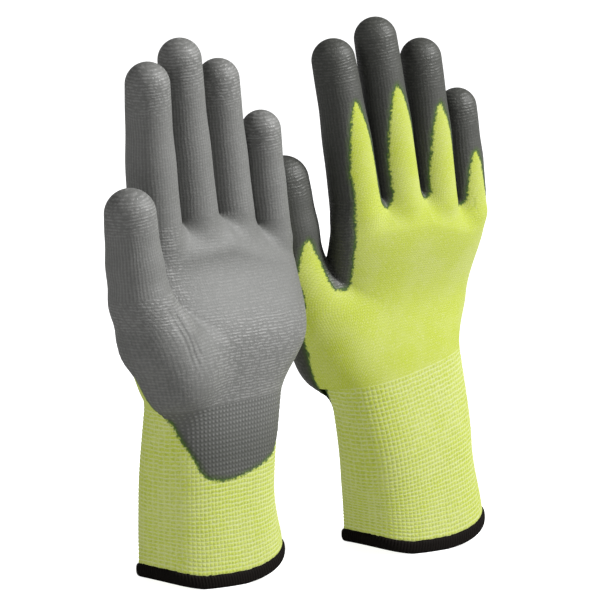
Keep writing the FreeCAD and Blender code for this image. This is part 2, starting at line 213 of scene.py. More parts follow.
class GloveColours(PropertyGroup):
    """Colours of the yarns and of the dipped film, as linear values."""
    knit: FloatVectorProperty(
        name="Knit", description="Main colour of the liner's yarn",
        default=(0.225, 0.262, 0.026, 1.0), **COLOUR)
    # Painted shade in the gaps between the stitches; the cuff's cells also take it for their darker
    # dots.
    gap_shade_and_dots: FloatVectorProperty(
        name="Knit gaps", description="Colour in the gaps between the stitches",
        default=(0.090, 0.118, 0.010, 1.0), **COLOUR)
    fleck: FloatVectorProperty(
        name="Pale fibres", description="Colour of the pale fibres spun into the yarn",
        default=(0.290, 0.305, 0.135, 1.0), **COLOUR)
    elastic: FloatVectorProperty(
        name="Pale yarn", description="Colour of the elastic yarn that shows in the cuff",
        default=(0.300, 0.325, 0.180, 1.0), **COLOUR)
    soak: FloatVectorProperty(
        name="Soaked edge", description="Colour of the knit where the dip has soaked in",
        default=(0.030, 0.055, 0.012, 1.0), **COLOUR)
    # Painted light: one film in two copies, the left glove's lit and the right glove's in painted
    # shade, about three times darker.
    film_left_lit: FloatVectorProperty(
        name="Film, left glove", description="Colour of the left glove's film",
        default=(0.141, 0.141, 0.137, 1.0), **COLOUR)
    film_right_shaded: FloatVectorProperty(
        name="Film, right glove", description="Colour of the right glove's film",
        default=(0.046, 0.047, 0.042, 1.0), **COLOUR)
    hem: FloatVectorProperty(
        name="Hem thread", description="Colour of the overlock thread",
        default=(0.004, 0.003, 0.0025, 1.0), **COLOUR)


class GloveStage(PropertyGroup):
    """Where the camera and the lights stand."""
    azimuth: FloatProperty(
        name="Azimuth", description="Camera's turn round the gloves",
        default=math.radians(-42.0), subtype="ANGLE")
    elevation: FloatProperty(
        name="Elevation", description="Camera's height above the horizon",
        default=math.radians(9.0), subtype="ANGLE")
    distance: FloatProperty(
        name="Distance", description="Camera to the gloves' middle", default=2.6, unit="LENGTH")
    lens: FloatProperty(
        name="Lens", description="Focal length in mm", default=356.0, min=20.0, max=800.0)
    aim_height: FloatProperty(
        name="Aim height", description="Height of the point that the camera looks at",
        default=0.1175, unit="LENGTH")
    aim_across: FloatProperty(
        name="Aim across", description="Shift of that point across the view",
        default=0.0045, unit="LENGTH")


def sizes():
    """The scene's glove sizes."""
    return bpy.context.scene.glove_sizes


def colours():
    """The scene's glove colours."""
    return bpy.context.scene.glove_colours


# ---- curves and distances ------------------------------------------------------------------
def smooth_step(low, high, value):
    """0 below low, 1 above high and 3t^2 - 2t^3 between, t being the share of the way."""
    t = np.clip((value - low) / (high - low), 0.0, 1.0)
    return t * t * (3.0 - 2.0 * t)


def smooth_min(a, b, k):
    """The smaller of two distances, rounded where they are within k of each other."""
    h = np.clip(0.5 + 0.5 * (b - a) / k, 0.0, 1.0)
    return b + (a - b) * h - k * h * (1.0 - h)


def station_slopes():
    """Harmonic mean of the slopes on a station's two sides, zero at the ends and at a turn."""
    steps = np.diff(SECTIONS[:, 1:], axis=0) / np.diff(SECTIONS[:, 0])[:, None]
    before, after = steps[:-1], steps[1:]
    product = before * after
    total = np.where(before + after == 0, 1.0, before + after)
    slopes = np.zeros_like(SECTIONS[:, 1:])
    slopes[1:-1] = np.where(product > 0, 2.0 * product / total, 0.0)
    return slopes


SLOPES = station_slopes()


def section_at(z):
    """Centre x, middle y, half width and half depth of the trunk at each height.

    Each value is a cubic through the stations' values with the station slopes.
    """
    z = np.clip(z, SECTIONS[0, 0], SECTIONS[-1, 0])
    i = np.clip(np.searchsorted(SECTIONS[:, 0], z, side="right") - 1, 0, len(SECTIONS) - 2)
    span = SECTIONS[i + 1, 0] - SECTIONS[i, 0]
    t = ((z - SECTIONS[i, 0]) / span)[..., None]
    a, b = SECTIONS[i, 1:], SECTIONS[i + 1, 1:]
    ga, gb = SLOPES[i] * span[..., None], SLOPES[i + 1] * span[..., None]
    value = ((2 * t**3 - 3 * t**2 + 1) * a + (t**3 - 2 * t**2 + t) * ga
             + (-2 * t**3 + 3 * t**2) * b + (t**3 - t**2) * gb)
    low, high, depth, middle = np.moveaxis(value, -1, 0)
    return (low + high) / 2, middle, (high - low) / 2, depth


def frame_of(name):
    """Root, axis, bending direction and hinge direction of a stall."""
    root, direction = np.array(ROOTS[name][0]), np.array(ROOTS[name][1])
    axis = direction / np.linalg.norm(direction)
    bend = np.array(BENDS_TO[name])
    bend = bend - axis * bend.dot(axis)
    bend /= np.linalg.norm(bend)
    return root, axis, bend, np.cross(axis, bend)


def trunk_distance(p):
    """How far each point is outside the trunk.

    The trunk's section is |x/a|^n + |y/b|^n = 1; the distance is (f - 1) over the length of f's
    gradient, f being the n-th root of that sum. The palm thins towards the web and ends there.
    """
    x, y, z = p[..., 0], p[..., 1], p[..., 2]
    centre, middle, half, depth = section_at(z)
    web = np.interp(x, WEB_X, WEB_Z)
    depth = depth * (1.0 - WEB_THIN * smooth_step(*WEB_THINS, z - web))
    u, v = np.abs(x - centre) / half, np.abs(y - middle) / depth
    un, vn = u**(SQUARENESS - 1.0), v**(SQUARENESS - 1.0)
    f = (un * u + vn * v)**(1.0 / SQUARENESS)
    slope = np.maximum(f, 0.05)**(1.0 - SQUARENESS) * np.hypot(un / half, vn / depth)
    side = (f - 1.0) / np.maximum(slope, 0.02)
    return -smooth_min(-side, web - z, TRUNK_TO_WEB)


def round_cone(p, a, b, ra, rb):
    """Distance to the hull of two balls: beside the cone it is measured square to its side."""
    a, b = np.asarray(a, float), np.asarray(b, float)
    span = b - a
    length = np.linalg.norm(span)
    axis = span / length
    q = p - a
    along = q @ axis
    away = np.sqrt(np.maximum((q * q).sum(-1) - along * along, 0.0))
    s = (ra - rb) / length
    c = math.sqrt(1.0 - s * s)
    k = along * c - away * s
    return np.where(k < 0, np.hypot(away, along) - ra,
                    np.where(k > c * length, np.hypot(away, along - length) - rb,
                             away * c + along * s - ra))


def stall_distance(name, p):
    """Distance to a finger from inside the palm to its round tip.

    The finger is a round cone; its axis bows a little towards the back halfway up, its joints
    stand a little proud, and its section is a touch flatter than it is wide.
    """
    root, axis, bend, hinge = frame_of(name)
    ra, rb, length = ROOTS[name][2:]
    q = p - root
    along, deep, across = q @ axis, q @ bend, q @ hinge
    share = np.clip(along / length, 0.0, 1.0)
    deep = deep + BOW[name] * np.sin(np.pi * share)
    grow = 1.0
    for swell, place, wide in SWELLS:
        grow = grow + swell * np.exp(-((share - place) / wide)**2)
    local = np.stack([across / grow, deep / grow, along], -1)
    start = -STUB if name != "thumb" else 0.0
    return round_cone(local, (0, 0, start), (0, 0, length), ra, rb)


def thumb_distance(p):
    """Distance to the thumb with its ball: round cones joined by a small smooth minimum."""
    d = stall_distance("thumb", p)
    for low, high in zip(THUMB_CHAIN[:-1], THUMB_CHAIN[1:]):
        d = smooth_min(d, round_cone(p, low[:3], high[:3], low[3], high[3]), BALL_ROUNDING)
    return d


def hand_distance(p):
    """Distance to the whole glove: trunk, four fingers and the thumb, with filleted joins."""
    trunk = trunk_distance(p)
    d = trunk
    for name in FINGERS:
        d = np.minimum(d, smooth_min(trunk, stall_distance(name, p), PALM_TO_FINGER))
    wide, narrow = THUMB_FILLET
    fillet = wide - (wide - narrow) * smooth_step(*THUMB_FILLET_Z, p[..., 2])
    return smooth_min(d, thumb_distance(p), fillet)


def gradient(p):
    """Unit gradient of the glove's distance by central differences."""
    step = 0.05
    g = np.empty_like(p)
    for i in range(3):
        shift = np.zeros(3)
        shift[i] = step
        g[..., i] = hand_distance(p + shift) - hand_distance(p - shift)
    size = np.linalg.norm(g, axis=-1, keepdims=True)
    return g / np.maximum(size, 1e-9), size / (2 * step)


def settle(p, rounds=3):
    """Points moved onto the glove's surface: each round goes back by distance over slope."""
    for _ in range(rounds):
        normal, slope = gradient(p)
        p = p - normal * (hand_distance(p)[..., None] / np.maximum(slope, 0.3))
    return p


# ---- the skin ------------------------------------------------------------------------------
SLAB = 12                # layers of the grid worked at a time


def net(distance, low, high, step):
    """Quads round the zero level of a distance, by surface nets.

    Each grid cell that the level crosses gets one point, the mean of its edges' crossings, and
    each grid edge that it crosses joins the points of its four cells.
    """
    axes = [np.arange(a, b + step, step) for a, b in zip(low, high)]
    shape = [len(a) for a in axes]
    values = np.empty(shape, np.float32)
    for k in range(0, shape[2], SLAB):
        slab = np.meshgrid(axes[0], axes[1], axes[2][k:k + SLAB], indexing="ij")
        values[..., k:k + SLAB] = distance(np.stack(slab, -1))
    inside = values < 0
    unit = np.eye(3, dtype=int)
    corners = np.indices((2, 2, 2)).reshape(3, -1).T
    count = sum(inside[tuple(slice(i, n - 1 + i) for i, n in zip(corner, shape))].astype(np.int8)
                for corner in corners)
    cells = np.argwhere((count > 0) & (count < 8))
    number = np.full(count.shape, -1, np.int64)
    number[tuple(cells.T)] = np.arange(len(cells))
    total, hits = np.zeros((len(cells), 3)), np.zeros(len(cells))
    for a in corners:
        for axis in range(3):
            if a[axis]:
                continue
            b = a + unit[axis]
            da, db = values[tuple((cells + a).T)], values[tuple((cells + b).T)]
            cross = (da < 0) != (db < 0)
            t = np.where(cross, da / np.where(cross, da - db, 1.0), 0.0)
            total += cross[:, None] * (a + t[:, None] * (b - a))
            hits += cross
    points = np.array([a[0] for a in axes]) + step * (cells + total / hits[:, None])
    quads = []
    for axis in range(3):
        first, second = (axis + 1) % 3, (axis + 2) % 3
        near, far = [slice(None)] * 3, [slice(None)] * 3
        near[axis], far[axis] = slice(0, -1), slice(1, None)
        edge = np.argwhere(inside[tuple(near)] != inside[tuple(far)])
        edge = edge[((edge[:, first] > 0) & (edge[:, second] > 0)
                     & (edge[:, first] < shape[first] - 1)
                     & (edge[:, second] < shape[second] - 1))]
        around = (unit[first] + unit[second], unit[second], 0 * unit[axis], unit[first])
        ring = np.stack([number[tuple((edge - back).T)] for back in around], 1)
        out = inside[tuple(edge.T)]
        ring[~out] = ring[~out][:, ::-1]
        quads.append(ring)
    return points, np.concatenate(quads)


RIM_COUNT = 7            # a point with fewer edge ends than this is at a rim and stays


def relax(points, quads, rounds):
    """Points drawn halfway to the mean of their neighbours and settled again, each round."""
    pairs = np.concatenate([quads[:, [i, (i + 1) % 4]] for i in range(4)])
    pairs = np.concatenate([pairs, pairs[:, ::-1]])
    count = np.bincount(pairs[:, 0], minlength=len(points))[:, None]
    for _ in range(rounds):
        mean = np.stack([np.bincount(pairs[:, 0], points[pairs[:, 1], i], len(points))
                         for i in range(3)], -1) / np.maximum(count, 1)
        moved = points + 0.5 * (mean - points)
        points = settle(np.where(count < RIM_COUNT, points, moved), 1)
    return points


def clip(points, faces, field):
    """A triangle mesh parted along field = 0: (points, faces above, faces below, field).

    A triangle that the level crosses has one corner alone on its side; the two crossings, shared
    with its neighbours, part it into a triangle and two more for the other side.
    """
    above = field >= 0
    count = above[faces].sum(1)
    whole_up, whole_down = faces[count == 3], faces[count == 0]
    mixed = faces[(count == 1) | (count == 2)]
    if not len(mixed):
        return points, whole_up, whole_down, field
    mixed_up = above[mixed]
    lone = np.where(mixed_up.sum(1) == 1, mixed_up.argmax(1), (~mixed_up).argmax(1))
    rows = np.arange(len(mixed))
    a, b, c = (mixed[rows, (lone + i) % 3] for i in range(3))
    lone_up = above[a]
    edges = np.sort(np.concatenate([np.stack([a, b], 1), np.stack([a, c], 1)]), axis=1)
    unique, back = np.unique(edges, axis=0, return_inverse=True)
    back = back.reshape(-1)
    t = field[unique[:, 0]] / (field[unique[:, 0]] - field[unique[:, 1]])
    made = points[unique[:, 0]] + t[:, None] * (points[unique[:, 1]] - points[unique[:, 0]])
    first = len(points)
    ab, ac = first + back[:len(a)], first + back[len(a):]
    tip = np.stack([a, ab, ac], 1)
    rest = np.concatenate([np.stack([ab, b, c], 1), np.stack([ab, c, ac], 1)])
    both = np.tile(lone_up, 2)
    up = np.concatenate([whole_up, tip[lone_up], rest[~both]])
    down = np.concatenate([whole_down, tip[~lone_up], rest[both]])
    points, field = np.concatenate([points, made]), np.append(field, np.zeros(len(made)))
    return points, up, down, field


def pack_faces(points, faces, *values):
    """Only the points that the faces use, the faces renumbered, and those points' values."""
    used, back = np.unique(faces.reshape(-1), return_inverse=True)
    return (points[used], back.reshape(faces.shape)) + tuple(value[used] for value in values)


SKIN_BOX = ((-76.0, -36.0, 42.0), (52.0, 18.0, 242.0))
made_skins = {}


def skins():
    """The left glove's skin in parts: hand, cuff_end and the five stalls, as (points, faces).

    A stall takes what lies above its seam and nearer to it than to the other stalls.
    """
    if made_skins:
        return made_skins
    step = sizes().spacing
    points, quads = net(hand_distance, *SKIN_BOX, step)
    points = relax(settle(points, 2), quads, 2)
    faces = np.concatenate([quads[:, [0, 1, 2]], quads[:, [0, 2, 3]]])
    for name in STALLS:
        root, axis, _, _ = frame_of(name)
        nearest = np.array([stall_distance(other, points) for other in STALLS]).argmin(0)
        field = (points - root) @ axis - SEAM_ABOVE[name]
        field = np.where(nearest == STALLS.index(name), field, -np.abs(field) - 0.5)
        if name == "thumb":
            # The palm's own side of the crotch stays with the palm.
            field = np.minimum(field, trunk_distance(points) - stall_distance(name, points))
        points, up, faces, _ = clip(points, faces, field)
        made_skins[name] = pack_faces(points, up)
    points, up, down, _ = clip(points, faces, points[:, 2] - CUFF_TOP)
    made_skins["hand"] = pack_faces(points, up)
    made_skins["cuff_end"] = pack_faces(points, down)
    return made_skins


# ---- where the stitches run ----------------------------------------------------------------
def arc_table(height):
    """Superellipse angle against the distance round the trunk at one height, from the +X side."""
    angle = np.linspace(0.0, 2 * np.pi, 1441)
    _, _, half, depth = (float(v) for v in section_at(np.array(height)))
    x, y = superellipse(angle, half, depth)
    return angle, np.concatenate([[0.0], np.cumsum(np.hypot(np.diff(x), np.diff(y)))])


def superellipse(angle, half, depth, exponent=SQUARENESS):
    """x = a |cos|^(2/n) and y = b |sin|^(2/n), with the signs of cos and sin."""
    c, s = np.cos(angle), np.sin(angle)
    power = 2.0 / exponent
    return (half * np.sign(c) * np.abs(c)**power, depth * np.sign(s) * np.abs(s)**power)


def trunk_round(p):
    """Distance round the trunk for each point, and the whole way round."""
    centre, middle, half, depth = section_at(p[:, 2])
    u, v = (p[:, 0] - centre) / half, (p[:, 1] - middle) / depth
    power = SQUARENESS / 2.0
    angle = np.arctan2(np.sign(v) * np.abs(v)**power, np.sign(u) * np.abs(u)**power)
    table, lengths = arc_table(COUNT_HEIGHT)
    return np.interp(np.mod(angle, 2 * np.pi), table, lengths), lengths[-1]


def stall_round(name, p):
    """Angle about a stall's axis, from its thumb side, and the distance along it."""
    root, axis, bend, hinge = frame_of(name)
    q = p - root
    return np.arctan2(q @ bend, -(q @ hinge)), q @ axis


def whole_turns(length, pitch):
    """The length nearest to the given one that holds a whole number of pitches."""
    return round(length / pitch) * pitch


def trunk_turn():
    """Whole way round the trunk in mm, as a whole number of stitches."""
    return whole_turns(arc_table(COUNT_HEIGHT)[1][-1], sizes().wale)


def stitch_places(part, p):
    """Stitch coordinates in mm: round the part, up it, and the whole way round."""
    wale = sizes().wale
    if part in STALLS:
        radius = (ROOTS[part][2] + ROOTS[part][3]) / 2
        turn = whole_turns(2 * np.pi * radius, wale)
        angle, along = stall_round(part, p)
        return angle / (2 * np.pi) * turn, along, turn
    u, length = trunk_round(p)
    turn = trunk_turn()
    return u * turn / length, p[:, 2], turn


def corner_map(u, v, faces, turn_u, turn_v=None):
    """The coordinates of each face corner, with no jump where a way round closes."""
    def unrolled(value, turn):
        corner = value[faces]
        if turn is None:
            return corner
        return corner + turn * (corner.max(1, keepdims=True) - corner > turn / 2)
    return np.stack([unrolled(u, turn_u), unrolled(v, turn_v)], -1)


def scatter(a, b, seed):
    """A steady value from 0 to 1 for each pair of whole numbers."""
    value = np.sin(a * 12.9898 + b * 78.233 + seed * 37.719) * 43758.5453
    return value - np.floor(value)


# ---- the dipped film -----------------------------------------------------------------------
def window_inside(name, p):
    """How far each point is inside the bare arch on a stall's back, in mm, negative outside.

    The arch's half angle is WINDOW_WIDE times the square root of the share of the way down it.
    """
    angle, along = stall_round(name, p)
    back = -np.pi / 2 - math.radians(WINDOW_TURN[name])
    back_angle = np.abs(np.mod(angle - back + np.pi, 2 * np.pi) - np.pi)
    _, _, ra, rb, length = ROOTS[name]
    top = length + rb - WINDOW_BARE[name]
    down = np.maximum(top - along, 0.0)
    half = math.radians(WINDOW_WIDE[name]) * np.sqrt(np.clip(down / WINDOW_LONG, 0.0, 1.0))
    radius = (ra + rb) / 2
    return np.minimum((half - back_angle) * radius, top - along)


def side_plane(p):
    """How far each point is inside the film's edge along the hand's sides, in mm.

    The edge runs WRAP_LITTLE mm behind the trunk's middle on the little finger's side and
    WRAP_THUMB mm behind it on the thumb's side.
    """
    _, middle, _, _ = section_at(p[:, 2])
    back = WRAP_LITTLE + (WRAP_THUMB - WRAP_LITTLE) * (1.0 - smooth_step(*WRAP_X, p[:, 0]))
    return middle + back - p[:, 1]


def film_inside(part, p):
    """How far each point is inside the film's edge, in mm, negative on the bare knit.

    On a stall it is the outside of the bare arch, joined to side_plane over FREE_OVER mm. On
    the hand it is the smaller of the height above the film's foot and side_plane, drawn into
    the arches at the fingers' roots, into the thumb's edge on its ball, and out to a lobe
    between thumb and index.
    """
    if part in STALLS:
        root, axis, _, _ = frame_of(part)
        window = -window_inside(part, p)
        if part == "thumb":
            return window
        free = smooth_step(0.0, FREE_OVER, (p - root) @ axis - SEAM_ABOVE[part])
        joined = np.maximum(window, side_plane(p))
        return joined + (window - joined) * free
    x, z = p[:, 0], p[:, 2]
    feet = [np.interp(x + shift, FILM_FOOT_X, FILM_FOOT_Z) for shift in FOOT_SHIFTS]
    slope = (feet[-1] - feet[0]) / (FOOT_SHIFTS[-1] - FOOT_SHIFTS[0])
    low = (z - np.mean(feet, axis=0)) / np.sqrt(1.0 + slope * slope)
    edge = np.minimum(low, side_plane(p))
    # Up the fingers' roots the film follows the arches of the stalls.
    for name in FINGERS:
        root, axis, _, _ = frame_of(name)
        near = smooth_step(*FINGER_NEAR, stall_distance(name, p))
        rise = smooth_step(*FINGER_RISE, (p - root) @ axis)
        edge = edge + (np.maximum(-window_inside(name, p), edge) - edge) * near * rise
    # Down the thumb's side its edge keeps near the middle of the thumb and its ball.
    ball = np.minimum(low, np.interp(z, THUMB_EDGE_Z, THUMB_EDGE_Y) - p[:, 1])
    root, axis, _, _ = frame_of("thumb")
    rise = smooth_step(*THUMB_RISE, (p - root) @ axis)
    ball = ball + (-window_inside("thumb", p) - ball) * rise
    on_thumb = smooth_step(-1.5, 1.5, trunk_distance(p) - thumb_distance(p))
    wrist = smooth_step(*WRIST_Z, z) * smooth_step(*WRIST_X, x)
    edge = edge + (ball - edge) * np.maximum(on_thumb, wrist)
    # Between thumb and index the film reaches round to the back in a narrow lobe.
    left, low = CROTCH_FOOT
    opening = smooth_min(z - low, x - left + LOBE_SLANT * (z - low), LOBE_ROUNDING)
    lobe = np.minimum(side_plane(p) + smooth_step(*LOBE_WIDENS, z), opening)
    return np.maximum(edge, lobe)


def film_edge(part, p):
    """film_inside over the length of its slope along the surface, so that it reads in mm."""
    normal, _ = gradient(p)
    across = np.cross(normal, (0.0, 0.0, 1.0))
    across /= np.maximum(np.linalg.norm(across, axis=1, keepdims=True), 1e-3)
    up = np.cross(normal, across)
    step = 0.3
    value = film_inside(part, p)
    slopes = [(film_inside(part, p + way * step) - film_inside(part, p - way * step))
              / (2 * step) for way in (across, up)]
    return value / np.clip(np.hypot(*slopes), 0.25, 3.0)


def stitched_edge(part, p):
    """film_edge with a small step at each stitch, up to half a millimetre in or out."""
    u, v, _ = stitch_places(part, p)
    row, column = np.floor(v / sizes().course), np.floor(u / sizes().wale)
    wide = scatter(np.floor(column / 3), np.floor(row / 3), 2) - 0.5
    return film_edge(part, p) + 0.7 * (scatter(column, row, 1) - 0.5) + 0.35 * wide


# ---- meshes --------------------------------------------------------------------------------
def glove_shift(side):
    """How far the glove stands from its own place, in mm, from the frame's hem."""
    low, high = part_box(f"{side}_cuff_hem")
    return (low[0] + high[0]) / 2 / MM - HEM_CENTRE


def place_points(side, points):
    """Millimetres in the left glove's place to metres in the frame, mirrored for the right."""
    moved = np.array(points, float)
    if side == "right":
        moved[:, 1] *= -1.0
    moved[:, 0] += glove_shift(side)
    return moved * MM


def add_object(name, data):
    """A new object of the scene with its mesh, light or camera."""
    made = bpy.data.objects.new(name, data)
    bpy.context.scene.collection.objects.link(made)
    return made


def build(name, side, points, faces, uv, values, rest):
    """An object from points and faces in mm, with its stitch map, values and rest places."""
    mesh = bpy.data.meshes.new(name)
    if side == "right":
        faces, uv = faces[:, ::-1], uv[:, ::-1]
    per = faces.shape[1]
    mesh.vertices.add(len(points))
    mesh.vertices.foreach_set("co", place_points(side, points).astype(np.float32).ravel())
    mesh.loops.add(faces.size)
    mesh.loops.foreach_set("vertex_index", faces.astype(np.int32).ravel())
    mesh.polygons.add(len(faces))
    mesh.polygons.foreach_set("loop_start", np.arange(0, faces.size, per, dtype=np.int32))
    mesh.update(calc_edges=True)
    rim = np.zeros(len(mesh.loops), np.int32)
    mesh.loops.foreach_get("edge_index", rim)
    alone = np.bincount(rim, minlength=len(mesh.edges)) == 1
    mesh.attributes.new("sharp_edge", "BOOLEAN", "EDGE").data.foreach_set("value", alone)
    layer = mesh.uv_layers.new(name="stitches")
    layer.data.foreach_set("uv", uv.astype(np.float32).ravel())
    for key, value in values.items():
        attribute = mesh.attributes.new(key, "FLOAT", "POINT")
        attribute.data.foreach_set("value", value.astype(np.float32))
    attribute = mesh.attributes.new("rest_place", "FLOAT_VECTOR", "POINT")
    attribute.data.foreach_set("vector", rest.astype(np.float32).ravel())
    mesh.polygons.foreach_set("use_smooth", np.ones(len(faces), bool))
    mesh.validate(clean_customdata=False)
    mesh.update()
    return add_object(name, mesh)


def thicken(made, wall):
    """A wall grown inwards from the made surface, its rims closed."""
    modifier = made.modifiers.new("wall", "SOLIDIFY")
    modifier.thickness = wall
    modifier.offset = -1.0
    modifier.use_even_offset = False
    modifier.use_quality_normals = False


def fasten(made, side, part, node, material):
    """Stalls stay put, others ride with the body; each stands for its node, takes its material."""
    if part in STALLS:
        root, axis, _, _ = frame_of(part)
        seam = SEAM_ABOVE[part]
        start, end = place_points(side, [root + axis * seam, root + axis * (seam + BEND_OVER[part])])
        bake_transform(made)
    else:
        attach(made, "gloves")
    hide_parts(f"{side}_{node}")
    made.data.materials.append(material)


# ---- shading -------------------------------------------------------------------------------
class Wires:
    """Short calls that add shader nodes to one tree and join their sockets."""

    def __init__(self, tree):
        self.tree = tree

    def join(self, value, socket):
        """Links a socket, or sets a plain value."""
        if isinstance(value, bpy.types.NodeSocket):
            self.tree.links.new(value, socket)
        else:
            socket.default_value = value

    def node(self, kind, *values, **settings):
        """A new node with its settings, and its first inputs joined to the values."""
        made = self.tree.nodes.new(kind)
        for key, value in settings.items():
            setattr(made, key, value)
        for value, socket in zip(values, made.inputs):
            self.join(value, socket)
        return made

    def math(self, operation, a, b=0.0, c=0.0):
        return self.node("ShaderNodeMath", a, b, c, operation=operation).outputs[0]

    def times(self, a, b):
        return self.math("MULTIPLY", a, b)

    def zigzag(self, value):
        """|2 fract(v) - 1|: 1 at each whole number and 0 halfway between."""
        share = self.math("FRACT", value)
        return self.math("ABSOLUTE", self.math("MULTIPLY_ADD", share, 2.0, -1.0))

    def span(self, value, low, high, to_low=0.0, to_high=1.0, kind="SMOOTHSTEP"):
        return self.node("ShaderNodeMapRange", value, low, high, to_low, to_high,
                         interpolation_type=kind).outputs[0]

    def mix(self, share, a, b):
        made = self.node("ShaderNodeMix", share, data_type="RGBA")
        self.join(a, made.inputs[6])
        self.join(b, made.inputs[7])
        return made.outputs[2]

    def noise(self, place, scale, detail=2.0, rough=0.5):
        made = self.node("ShaderNodeTexNoise", place)
        made.inputs["Scale"].default_value = scale
        made.inputs["Detail"].default_value = detail
        made.inputs["Roughness"].default_value = rough
        return made.outputs[0]

    def wander(self, reach, *noise):
        """Noise about zero, up to half of reach either way."""
        return self.times(self.math("SUBTRACT", self.noise(*noise), 0.5), reach)

    def attribute(self, name, output="Fac"):
        return self.node("ShaderNodeAttribute", attribute_name=name).outputs[output]

    def rest_place(self):
        return self.attribute("rest_place", "Vector")

    def stitches(self):
        return self.node("ShaderNodeUVMap", uv_map="stitches").outputs[0]

    def parts(self, vector):
        return self.node("ShaderNodeSeparateXYZ", vector).outputs

    def bump(self, height, strength, distance, normal=None):
        made = self.node("ShaderNodeBump")
        made.inputs["Strength"].default_value = strength
        made.inputs["Distance"].default_value = distance
        self.join(height, made.inputs["Height"])
        if normal is not None:
            self.join(normal, made.inputs["Normal"])
        return made.outputs[0]

    def group(self, tree, **values):
        made = self.node("ShaderNodeGroup", node_tree=tree)
        for key, value in values.items():
            self.join(value, made.inputs[key.capitalize()])
        return made.outputs


def group_of(name, fill, inputs, outputs):
    """The shader node group of that name; the first time, fill adds its nodes.

    An input whose default is a tuple takes a vector; the others and all outputs are floats.
    """
    if name not in bpy.data.node_groups:
        tree = bpy.data.node_groups.new(name, "ShaderNodeTree")
        for label, default in inputs.items():
            kind = "NodeSocketVector" if isinstance(default, tuple) else "NodeSocketFloat"
            socket = tree.interface.new_socket(label, in_out="INPUT", socket_type=kind)
            socket.default_value = default
        for label in outputs:
            tree.interface.new_socket(label, in_out="OUTPUT", socket_type="NodeSocketFloat")
        wires = Wires(tree)
        fill(wires, wires.node("NodeGroupInput").outputs, wires.node("NodeGroupOutput").inputs)
    return bpy.data.node_groups[name]


def stitch_nodes(w, given, out):
    """Plain knit: V-shaped stitches in columns, as a height and a mask of their gaps.

    With x the share of the way over a column from its middle and y the share of the way up a
    row, a leg lies where |x| = 1/4 and slants by y + 0.9 |x|.
    """
    place = w.parts(given["Place"])
    x = w.math("DIVIDE", w.math("ADD", place[0], given["Wobble"]), given["Wale"])
    x = w.math("ABSOLUTE", w.math("SUBTRACT", w.math("FRACT", x), 0.5))
    y = w.math("DIVIDE", w.math("ADD", place[1], given["Wobble"]), given["Course"])
    y = w.math("FRACT", w.math("MULTIPLY_ADD", x, 0.9, y))
    humps = []
    for value, turns in ((x, 4.0), (y, 2.0)):
        off = w.math("ABSOLUTE", w.math("MULTIPLY_ADD", value, turns, -1.0))
        hump = w.math("SUBTRACT", 1.0, w.times(off, off))
        humps.append(w.math("SQRT", w.math("MAXIMUM", hump, 0.0)))
    height = w.times(*humps)
    w.join(height, out["Height"])
    w.join(w.span(height, 0.15, 0.6, 1.0, 0.0), out["Gap"])


def stitch_group():
    """Plain knit as a node group; the wale and the course are its pitches in mm."""
    return group_of("Plain knit", stitch_nodes,
                    {"Place": (0, 0, 0), "Wale": 1.3, "Course": 1.1, "Wobble": 0.0},
                    ("Height", "Gap"))


def cell_nodes(w, given, out):
    """Ribbing: puffed cells between lines of pale yarn.

    It gives a height, masks of the lines along the rows and the columns, and a mask of round
    dots at the middles of the cells.
    """
    place = w.parts(given["Place"])
    x = w.math("ADD", place[0], w.times(given["Wobble"], 0.25))
    y = w.math("ADD", place[1], w.times(given["Wobble"], 0.35))
    across, up = w.zigzag(x), w.zigzag(y)
    rows, columns = w.span(up, 0.42, 0.86), w.span(across, 0.5, 0.9)
    w.join(rows, out["Rows"])
    w.join(columns, out["Columns"])
    w.join(w.times(w.span(across, 0.85, 0.15), w.span(up, 0.85, 0.15)), out["Dots"])
    w.join(w.times(w.math("SUBTRACT", 1.0, rows),
                   w.math("SUBTRACT", 1.0, w.times(columns, 0.8))), out["Height"])


def cell_group():
    """The ribbing as a node group; one cell is one unit of its place."""
    return group_of("Ribbing", cell_nodes, {"Place": (0, 0, 0), "Wobble": 0.0},
                    ("Height", "Rows", "Columns", "Dots"))


def material_of(name, fill, *given):
    """The material of that name; the first time, fill adds its nodes and sets its shader."""
    if name not in bpy.data.materials:
        made = bpy.data.materials.new(name)
        made.use_nodes = True
        fill(Wires(made.node_tree), made.node_tree.nodes["Principled BSDF"].inputs, *given)
    return bpy.data.materials[name]


def tinted(colour, red, green, blue):
    """An opaque colour with each channel multiplied."""
    return (colour[0] * red, colour[1] * green, colour[2] * blue, 1.0)


def yarn_colour(w, shaded_gaps, place):
    """The liner's yarn: main colour, painted shade in the gaps, pale fibres, and broad uneven dye.
    """
    c = colours()
    fibres = w.span(w.noise(place, 1.7, 3.0, 0.7), 0.50, 0.66)
    broad = w.span(w.noise(place, 0.07, 3.0), 0.35, 0.65)
    colour = w.mix(w.times(fibres, 0.6), tuple(c.knit), tuple(c.fleck))
    colour = w.mix(w.times(broad, 0.22), colour, tuple(c.fleck))
    # Painted shade: the gaps between the stitches are darkened.
    return w.mix(w.times(shaded_gaps, 0.30), colour, tuple(c.gap_shade_and_dots))


def yarn_finish(w, shader, colour, place):
    """Knit soaked dark past the film's edge in ragged stitches, with sheen and a painted glow."""
    edge = w.math("ADD", w.attribute("film_edge"), w.wander(3.4, place, 0.9, 3.0, 0.6))
    colour = w.mix(w.span(edge, -1.7, -0.35), colour, tuple(colours().soak))
    w.join(colour, shader["Base Color"])
    # Painted light: the yarn gives off its own colour as a glow, though it is no lamp.
    w.join(colour, shader["Emission Color"])
    shader["Emission Strength"].default_value = YARN_PAINTED_GLOW
    shader["Sheen Weight"].default_value = 0.12
    shader["Sheen Roughness"].default_value = 0.5
    shader["Specular IOR Level"].default_value = 0.2


